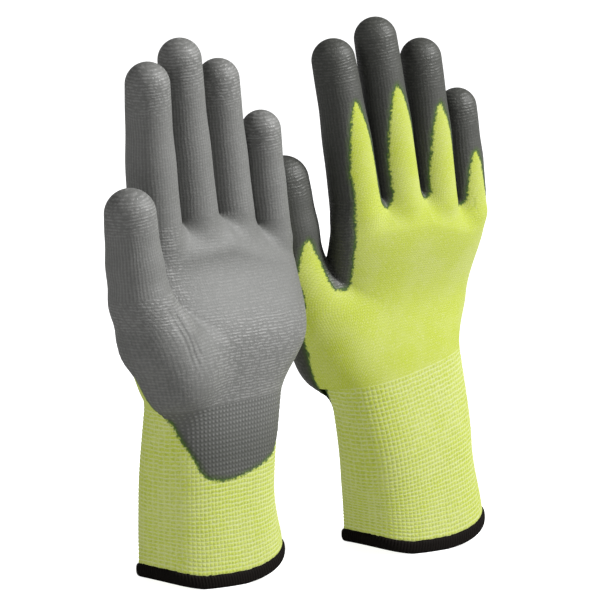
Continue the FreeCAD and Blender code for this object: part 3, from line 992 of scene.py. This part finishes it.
def knit_nodes(w, shader):
    """Plain-knit liner with stitches, pale fibres and a soaked edge by the film."""
    place = w.rest_place()
    stitch = w.group(stitch_group(), place=w.stitches(), wale=sizes().wale,
                     course=sizes().course, wobble=w.wander(0.5, place, 0.35))
    yarn_finish(w, shader, yarn_colour(w, stitch["Gap"], place), place)
    w.join(w.span(stitch["Height"], 0.0, 1.0, 0.95, 0.78), shader["Roughness"])
    height = w.math("MULTIPLY_ADD", w.noise(place, 5.0, 2.0, 0.7), 0.35, stitch["Height"])
    w.join(w.bump(height, 0.45, 0.00020), shader["Normal"])


def cuff_nodes(w, shader):
    """Ribbed cuff: yellow cells in a grid of pale elastic yarn."""
    place = w.rest_place()
    cell = w.group(cell_group(), place=w.stitches(), wobble=w.wander(2.0, place, 0.30))
    ragged = w.noise(place, 1.1, 2.0, 0.6)
    rows = w.times(cell["Rows"], w.span(ragged, 0.36, 0.56, 0.35, 1.0))
    columns = w.times(cell["Columns"], w.span(ragged, 0.42, 0.62, 0.15, 0.62))
    pale = w.math("MAXIMUM", rows, columns)
    colour = w.mix(w.times(pale, 0.66), yarn_colour(w, 0.0, place), tuple(colours().elastic))
    corner = w.times(w.span(cell["Height"], 0.2, 0.75), w.span(w.noise(place, 0.8), 0.45, 0.65))
    colour = w.mix(w.times(corner, 0.26), colour, tuple(colours().gap_shade_and_dots))
    yarn_finish(w, shader, colour, place)
    w.join(w.span(cell["Height"], 0.0, 1.0, 0.95, 0.8), shader["Roughness"])
    height = w.math("MULTIPLY_ADD", w.noise(place, 4.0, 2.0, 0.7), 0.4, cell["Height"])
    w.join(w.bump(height, 0.45, 0.0003), shader["Normal"])


def film_nodes(w, shader, base):
    """Dipped film: satin grey, the knit's rows, a fine grain, and painted highlight and shade."""
    place = w.rest_place()
    u, v, _ = w.parts(w.stitches())
    drift = w.wander(1.6, place, 0.12, 3.0, 0.55)
    row = w.zigzag(w.math("DIVIDE", w.math("ADD", v, drift), sizes().course * 1.2))
    column = w.zigzag(w.math("DIVIDE", w.math("ADD", u, drift), sizes().wale * 1.1))
    broken = w.span(w.noise(place, 0.55, 2.0, 0.6), 0.40, 0.60)
    rows = w.times(row, w.math("MULTIPLY_ADD", broken, 0.8, 0.2))
    rows = w.times(rows, w.times(w.attribute("rough"), 0.85))
    columns = w.times(w.times(column, w.attribute("striped")), 0.5)
    grain = w.noise(place, 1.25, 4.0, 0.65)
    height = w.math("MULTIPLY_ADD", grain, 0.6, w.math("ADD", rows, columns))
    # Over the cuff the ribbing's cells show as dots in place of the knit's rows.
    plain = w.attribute("plain_knit")
    ribbed = w.math("SUBTRACT", 1.0, plain)
    cell = w.node("ShaderNodeCombineXYZ", w.times(u, sizes().rib_columns / trunk_turn()),
                  w.times(v, sizes().rib_rows / CUFF_TOP))
    dots = w.group(cell_group(), place=cell.outputs[0], wobble=0.0)["Dots"]
    height = w.math("MULTIPLY_ADD", height, plain, w.times(dots, w.times(ribbed, 0.85)))
    # Painted light: lighter on the relief's high spots, darker in its low ones; the blotches are
    # random tone.
    high = tinted(base, 1.20, 1.20, 1.20)
    colour = w.mix(w.span(height, 0.15, 1.05), tinted(base, 0.62, 0.63, 0.61), high)
    blotch = w.span(w.noise(place, 0.05, 3.0), 0.3, 0.7)
    colour = w.mix(w.times(blotch, 0.15), colour, high)
    deep = w.span(v, CUFF_TOP + 2.0, CUFF_TOP - 26.0, 0.12, 0.62)
    colour = w.mix(w.times(ribbed, deep), colour, RIBBED_FILM)
    thin = w.span(w.attribute("film_edge"), 0.0, 2.2, 0.85, 0.0)
    w.join(w.mix(thin, colour, THIN_FILM), shader["Base Color"])
    w.join(w.span(height, 0.2, 1.2, 0.62, 0.46), shader["Roughness"])
    fine = w.bump(height, 0.65, 0.00030)
    w.join(w.bump(w.attribute("crease"), 1.0, 0.0009, fine), shader["Normal"])
    shader["Specular IOR Level"].default_value = 0.42


def hem_nodes(w, shader):
    """Overlock thread: dark, with a slanted wrap and a fine twist."""
    u, v, _ = w.parts(w.stitches())
    wrap = w.zigzag(w.math("MULTIPLY_ADD", v, 0.22, u))
    fuzz = w.noise(w.rest_place(), 3.2, 3.0, 0.7)
    base = tuple(colours().hem)
    # Painted highlight: the crowns of the thread's turns are lighter, broken up by the fuzz.
    share = w.times(w.span(wrap, 0.9, 0.2), w.span(fuzz, 0.35, 0.7))
    w.join(w.mix(share, base, tinted(base, 1.25, 1.2, 1.2)), shader["Base Color"])
    w.join(w.span(fuzz, 0.3, 0.7, 0.65, 0.9), shader["Roughness"])
    height = w.math("MULTIPLY_ADD", fuzz, 0.5, w.math("SUBTRACT", 1.0, wrap))
    w.join(w.bump(height, 0.35, 0.0003), shader["Normal"])
    shader["Specular IOR Level"].default_value = 0.06


def elastic_nodes(w, shader):
    """Covered elastic yarn: pale, ringed across its length."""
    rings = w.noise(w.node("ShaderNodeTexCoord").outputs["Object"], 900.0)
    base = tuple(colours().elastic)
    w.join(w.mix(w.span(rings, 0.35, 0.65), base, tinted(base, 0.6, 0.62, 0.5)),
           shader["Base Color"])
    w.join(w.span(rings, 0.3, 0.7, 0.6, 0.8), shader["Roughness"])
    w.join(w.bump(rings, 0.4, 0.0002), shader["Normal"])


def floor_nodes(w, shader):
    """Pale floor that gives off light to the camera alone."""
    grain = w.noise(w.node("ShaderNodeTexCoord").outputs["Object"], 40.0)
    w.join(w.mix(grain, (0.50, 0.50, 0.50, 1), (0.53, 0.53, 0.53, 1)), shader["Base Color"])
    shader["Roughness"].default_value = 0.9
    shader["Emission Color"].default_value = (1, 1, 1, 1)
    seen = w.node("ShaderNodeLightPath").outputs["Is Camera Ray"]
    w.join(w.times(seen, 0.94), shader["Emission Strength"])


# ---- pieces --------------------------------------------------------------------------------
def side_rise(side, x, z):
    """Rise of a cuff's rows at its two sides, s being the share of the way out.

    At the foot it is HEM_RISE |s|^2.5 + HEM_LEAN s, never below zero. Up to RISE_GONE it passes
    into CUFF_LEAN s, which fades away between the cuff's top and LEAN_GONE.
    """
    out = np.clip((x - HEM_CENTRE) / HEM_REACH, -1.3, 1.3)
    foot = np.maximum(HEM_RISE * np.abs(out)**2.5 + HEM_LEAN[side] * out, 0.0)
    above = smooth_step(0.0, RISE_GONE, z)
    lean = CUFF_LEAN[side] * out * (1.0 - smooth_step(CUFF_TOP - 6.0, LEAN_GONE, z))
    return foot * (1.0 - above) + lean * above


def piece_name(part):
    """The frame's word for a part of the skin."""
    return "palm" if part == "hand" else part


def build_skin(name, side, part, points, faces, grown, values):
    """A part of the skin as an object: grown points, the hand's lifted with the cuff's rows."""
    places = stitch_places(part, points)
    if part == "hand":
        grown[:, 2] += side_rise(side, points[:, 0], points[:, 2])
    return build(name, side, grown, faces, corner_map(places[0], places[1], faces, places[2]),
                 values, points)


def knit_piece(side, part):
    """The knitted liner of the hand or of one stall."""
    points, faces = skins()[part]
    edge = stitched_edge(part, points)
    made = build_skin(f"{side}_{piece_name(part)}_knit_skin", side, part, points, faces,
                      points.copy(), {"film_edge": edge})
    node = "palm_knit" if part == "hand" else f"{part}_stall"
    fasten(made, side, part, node, material_of("Knitted liner", knit_nodes))
    thicken(made, sizes().knit_wall)


def rib_cells(points):
    """Cuff cells at each point: the count of rows, and the depth share of the cells' lines."""
    u, length = trunk_round(points)
    column = u / length * sizes().rib_columns
    row = points[:, 2] / CUFF_TOP * sizes().rib_rows
    across, up = (np.abs((value % 1.0) * 2.0 - 1.0) for value in (column, row))
    return row, np.maximum(smooth_step(0.42, 0.95, up), 0.7 * smooth_step(0.5, 0.95, across))


def film_grain(part, p):
    """How strongly the knit's rows and its columns show through the film at each point.

    Rows are strong on the heel, beside the thumb's crotch and at the fingertips; columns show
    along the stalls and faintly over the palm.
    """
    if part in STALLS:
        root, axis, _, hinge = frame_of(part)
        q = p - root
        share = (q @ axis) / ROOTS[part][4]
        beside = np.abs(q @ hinge) / ROOTS[part][2]
        rough = 0.25 + 0.75 * smooth_step(0.72, 0.98, share)
        return rough, (0.35 + 0.45 * smooth_step(0.3, 0.9, beside)) * (
            1.0 - smooth_step(0.75, 0.95, share))
    x, z = p[:, 0], p[:, 2]
    heel = smooth_step(128.0, 104.0, z)
    crotch = smooth_step(-20.0, -34.0, x) * smooth_step(112.0, 122.0, z)
    heel = heel * (0.35 + 0.65 * smooth_step(-30.0, -16.0, x))
    return 0.22 + 0.7 * np.maximum(heel, crotch), 0.12 + 0.25 * smooth_step(-26.0, -36.0, x)


def creases(part, p):
    """Shallow folds that run down from the thumb's crotch over its ball, as a height up to 1.

    Each fold is a Gaussian valley CREASE_WIDE mm wide about a line that leans inwards from
    CREASE_TOP down, and it fades at both ends.
    """
    if part != "hand":
        return np.zeros(len(p))
    down = CREASE_TOP - p[:, 2]
    comes, goes = CREASE_FADES
    fade = smooth_step(*comes, down) * (1.0 - smooth_step(*goes, down))
    total = np.zeros(len(p))
    for start, depth in CREASE_LINES:
        total -= depth * np.exp(-((p[:, 0] - start - CREASE_LEAN * down) / CREASE_WIDE)**2)
    return total * fade * smooth_step(*CREASE_FRONT, p[:, 1])


def weld(points, faces):
    """Points that lie in the same place made one."""
    key = np.round(points * 1e5).astype(np.int64)
    _, first, back = np.unique(key, axis=0, return_index=True, return_inverse=True)
    faces = back.reshape(-1)[faces]
    flat = (faces == np.roll(faces, -1, axis=1)).any(1)
    return points[first], faces[~flat]


def film_piece(side, part):
    """The dipped film over the hand or one stall: the skin within the film's edge, grown out.

    It stands film_proud clear of the knit and thins to 0.3 of that at its edge. Over the cuff
    it sinks FILM_SINK mm into the lines between the cells.
    """
    points, faces = skins()[part]
    if part == "hand":
        end_points, end_faces = skins()["cuff_end"]
        points, faces = weld(np.concatenate([points, end_points]),
                             np.concatenate([faces, end_faces + len(points)]))
    points, faces, _, edge = clip(points, faces, stitched_edge(part, points))
    points, faces, edge = pack_faces(points, faces, edge)
    normal, _ = gradient(points)
    _, line = rib_cells(points)
    plain = smooth_step(CUFF_TOP - 1.0, CUFF_TOP + 1.0, points[:, 2])
    proud = sizes().film_proud * (0.3 + 0.7 * smooth_step(0.0, 1.6, edge))
    proud = proud - (1.0 - plain) * line * FILM_SINK
    rough, striped = film_grain(part, points)
    values = {"film_edge": edge, "plain_knit": plain, "rough": rough,
              "striped": striped, "crease": creases(part, points)}
    made = build_skin(f"{side}_{piece_name(part)}_film", side, part, points, faces,
                      points + normal * proud[:, None], values)
    c = colours()
    # Painted light: the left glove takes the lit copy of the film's colour, the right glove the
    # shaded copy.
    base = tuple(c.film_left_lit if side == "left" else c.film_right_shaded)
    fasten(made, side, part, f"{piece_name(part)}_coating",
           material_of(f"Dipped film {side}", film_nodes, base))
    thicken(made, sizes().film_wall)


def grid_faces(across, up, closed_up=False):
    """Quads of a grid numbered row by row, closed round its rows and, if asked, up them too."""
    i, j = np.meshgrid(np.arange(across), np.arange(up if closed_up else up - 1))
    i, j = i.ravel(), j.ravel()
    k, m = (i + 1) % across, (j + 1) % up
    return np.stack([j * across + i, j * across + k, m * across + k, m * across + i], 1)


def even_angles(across, height):
    """Shares of the way round the trunk at one height, and the superellipse angle of each."""
    table, lengths = arc_table(height)
    share = np.arange(across) / across
    return share, np.interp(share * lengths[-1], lengths, table)


def cuff_piece(side):
    """The ribbed cuff: the trunk's surface as a grid of cells whose lines are pressed in."""
    columns, rows = sizes().rib_columns, sizes().rib_rows
    across, up = columns * CUFF_CELL[0], rows * CUFF_CELL[1] + 1
    share, angle = even_angles(across, COUNT_HEIGHT)
    z = np.linspace(HEM_FLOOR, CUFF_TOP, up)
    angle, z = (value.ravel() for value in np.meshgrid(angle, z))
    centre, middle, half, depth = section_at(z)
    x, y = superellipse(angle, half, depth)
    points = settle(np.stack([centre + x, middle + y, z], -1), 3)
    points[:, 2] = z
    normal, _ = gradient(points)
    row, line = rib_cells(points)
    column = np.tile(share * columns, up)
    relief = sizes().rib_relief * line * (1.0 - smooth_step(CUFF_TOP - 1.5, CUFF_TOP, z))
    faces = grid_faces(across, up)
    edge = film_edge("hand", points) + 0.6 * (scatter(np.floor(column), np.floor(row), 3) - 0.5)
    grown = points - normal * relief[:, None]
    grown[:, 2] += side_rise(side, grown[:, 0], grown[:, 2])
    made = build(f"{side}_cuff_knit_skin", side, grown, faces,
                 corner_map(column, row, faces, columns), {"film_edge": edge}, points)
    fasten(made, side, "cuff", "cuff_knit", material_of("Ribbed cuff", cuff_nodes))
    thicken(made, sizes().cuff_wall)


def hem_piece(side):
    """The overlocked hem: a rounded band carried round the cuff's foot, wrapped in thread.

    Its section is a superellipse of exponent HEM_SQUARENESS about the middle of the cuff's
    wall; each turn of thread stands THREAD_PROUD mm proud and slants as it goes over the edge.
    """
    across, up = HEM_WRAPS * HEM_GRID[0], HEM_GRID[1]
    share, angle = even_angles(across, HEM_ROUND_HEIGHT)
    turn = np.arange(up) / up * 2 * np.pi
    angle, turn = (value.ravel() for value in np.meshgrid(angle, turn))
    out, lift = superellipse(turn, HEM_HALF, HEM_HEIGHT / 2, HEM_SQUARENESS)
    around = np.tile(share, up) * HEM_WRAPS
    slant = around + HEM_SLANT * np.sin(turn)
    proud = THREAD_PROUD * (np.abs(np.sin(np.pi * slant)) - 0.6)
    ragged = HEM_RAGGED * (scatter(np.floor(slant), 0.0, 5) - 0.5)
    z = HEM_HEIGHT / 2 + lift + ragged * smooth_step(1.0, 2.7, lift)
    centre, middle, half, depth = section_at(np.maximum(z, 0.0))
    x, y = superellipse(angle, half, depth)
    nx = np.sign(x) * np.abs(x / half)**(SQUARENESS - 1) / half
    ny = np.sign(y) * np.abs(y / depth)**(SQUARENESS - 1) / depth
    reach = (out * (1.0 + proud / HEM_HALF) - 1.0) / np.hypot(nx, ny)
    points = np.stack([centre + x + nx * reach, middle + y + ny * reach,
                       z * (1.0 + proud * 0.02)], -1)
    points[:, 2] += side_rise(side, points[:, 0], points[:, 2])
    faces = grid_faces(across, up, closed_up=True)
    uv = corner_map(around, turn / (2 * np.pi) * HEM_ROUND, faces, HEM_WRAPS, HEM_ROUND)
    made = build(f"{side}_hem_overlock", side, points, faces, uv, {}, points)
    fasten(made, side, "cuff", "cuff_hem", material_of("Overlock thread", hem_nodes))


class GLOVES_OT_liner(Operator):
    """Knits the hands and the stalls of both gloves"""
    bl_idname = "gloves.liner"
    bl_label = "Knitted liner"

    def execute(self, context):
        for side in SIDES:
            for part in ("hand",) + STALLS:
                knit_piece(side, part)
        return {"FINISHED"}


class GLOVES_OT_film(Operator):
    """Dips the palms, the fingertips and the sides of the fingers of both gloves"""
    bl_idname = "gloves.film"
    bl_label = "Dipped film"

    def execute(self, context):
        for side in SIDES:
            for part in ("hand",) + STALLS:
                film_piece(side, part)
        return {"FINISHED"}


class GLOVES_OT_cuff(Operator):
    """Knits the ribbed cuffs and finishes the elastic yarns inside them"""
    bl_idname = "gloves.cuff"
    bl_label = "Ribbed cuffs"

    def execute(self, context):
        for side in SIDES:
            cuff_piece(side)
            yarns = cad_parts[f"{side}_cuff_elastic"]
            yarns.data.materials.clear()
            yarns.data.materials.append(material_of("Elastic yarn", elastic_nodes))
        return {"FINISHED"}


class GLOVES_OT_hem(Operator):
    """Overlocks the hems of both cuffs"""
    bl_idname = "gloves.hem"
    bl_label = "Overlocked hems"

    def execute(self, context):
        for side in SIDES:
            hem_piece(side)
        return {"FINISHED"}


def area_light(name, place, aim, size, power):
    """A square soft white light at a place, turned to its aim."""
    data = bpy.data.lights.new(name, "AREA")
    data.shape, data.size, data.energy = "SQUARE", size, power
    made = add_object(name, data)
    made.location = place
    made.rotation_euler = (aim - place).to_track_quat("-Z", "Y").to_euler()


def direction(azimuth, elevation):
    """Unit vector from the gloves towards a camera at that azimuth and elevation."""
    return Vector((math.sin(azimuth) * math.cos(elevation),
                   -math.cos(azimuth) * math.cos(elevation), math.sin(elevation)))


class GLOVES_OT_stage(Operator):
    """Lays the pale floor and sets the lights and the camera"""
    bl_idname = "gloves.stage"
    bl_label = "Floor, lights and camera"

    def execute(self, context):
        scene = context.scene
        place = scene.glove_stage
        floor = bpy.data.meshes.new("floor")
        floor.from_pydata([(-8, -8, 0), (8, -8, 0), (8, 8, 0), (-8, 8, 0)], [], [(0, 1, 2, 3)])
        floor_object = add_object("floor", floor)
        floor.materials.append(material_of("Pale floor", floor_nodes))

        world = bpy.data.worlds.new("soft room")
        scene.world = world
        world.use_nodes = True
        w = Wires(world.node_tree)
        room = world.node_tree.nodes["Background"]
        shown = w.node("ShaderNodeLightPath").outputs["Is Camera Ray"]
        w.join(w.span(shown, 0.0, 1.0, 0.22, 1.05, "LINEAR"), room.inputs["Strength"])
        room.inputs["Color"].default_value = (1.0, 1.0, 1.0, 1.0)

        back = direction(place.azimuth, place.elevation)
        right = Vector((math.cos(place.azimuth), math.sin(place.azimuth), 0.0))
        aim = Vector((0.0, 0.0, place.aim_height)) + right * place.aim_across
        camera = bpy.data.cameras.new("camera")
        camera.lens, camera.sensor_width = place.lens, 36.0
        camera.clip_start, camera.clip_end = 0.1, 60.0
        camera_object = add_object("camera", camera)
        camera_object.location = aim + back * place.distance
        camera_object.rotation_mode = "QUATERNION"
        camera_object.rotation_quaternion = (-back).to_track_quat("-Z", "Y")
        scene.camera = camera_object

        centre = Vector((0.0, 0.0, 0.12))
        flat = Vector((back.x, back.y, 0.0)).normalized()
        up = Vector((0.0, 0.0, 1.0))
        for name, across, near, high, size, power in LIGHTS:
            at = centre + right * across + flat * near + up * high
            area_light(name, at, centre, size, power)
        scene.view_settings.view_transform = "Standard"
        scene.view_settings.look = "None"
        return {"FINISHED"}


class GLOVES_PT_panel(Panel):
    """Buttons that build the gloves, and the values they are built from"""
    bl_idname = "GLOVES_PT_panel"
    bl_label = "Dipped work gloves"
    bl_space_type = "VIEW_3D"
    bl_region_type = "UI"
    bl_category = "Gloves"

    def draw(self, context):
        for name, _ in GROUPS:
            group, box = getattr(context.scene, name), self.layout.box()
            for key in group.bl_rna.properties.keys():
                if key not in ("rna_type", "name"):
                    box.prop(group, key)
        for operator in STEPS:
            self.layout.operator(operator.bl_idname)


STEPS = (GLOVES_OT_stage, GLOVES_OT_liner, GLOVES_OT_film, GLOVES_OT_cuff, GLOVES_OT_hem)
CLASSES = (GloveSizes, GloveColours, GloveStage) + STEPS + (GLOVES_PT_panel,)
GROUPS = (("glove_sizes", GloveSizes), ("glove_colours", GloveColours),
          ("glove_stage", GloveStage))


def register():
    """Adds the classes and hangs the values on the scene."""
    for made in CLASSES:
        bpy.utils.register_class(made)
    for name, group in GROUPS:
        setattr(bpy.types.Scene, name, PointerProperty(type=group))


def unregister():
    """Takes everything away again."""
    for name, _ in GROUPS:
        delattr(bpy.types.Scene, name)
    for made in reversed(CLASSES):
        bpy.utils.unregister_class(made)


def main():
    """Builds the stage and every piece."""
    register()
    for operator in STEPS:
        group, name = operator.bl_idname.split(".")
        getattr(getattr(bpy.ops, group), name)()


if __name__ == "__main__":
    main()
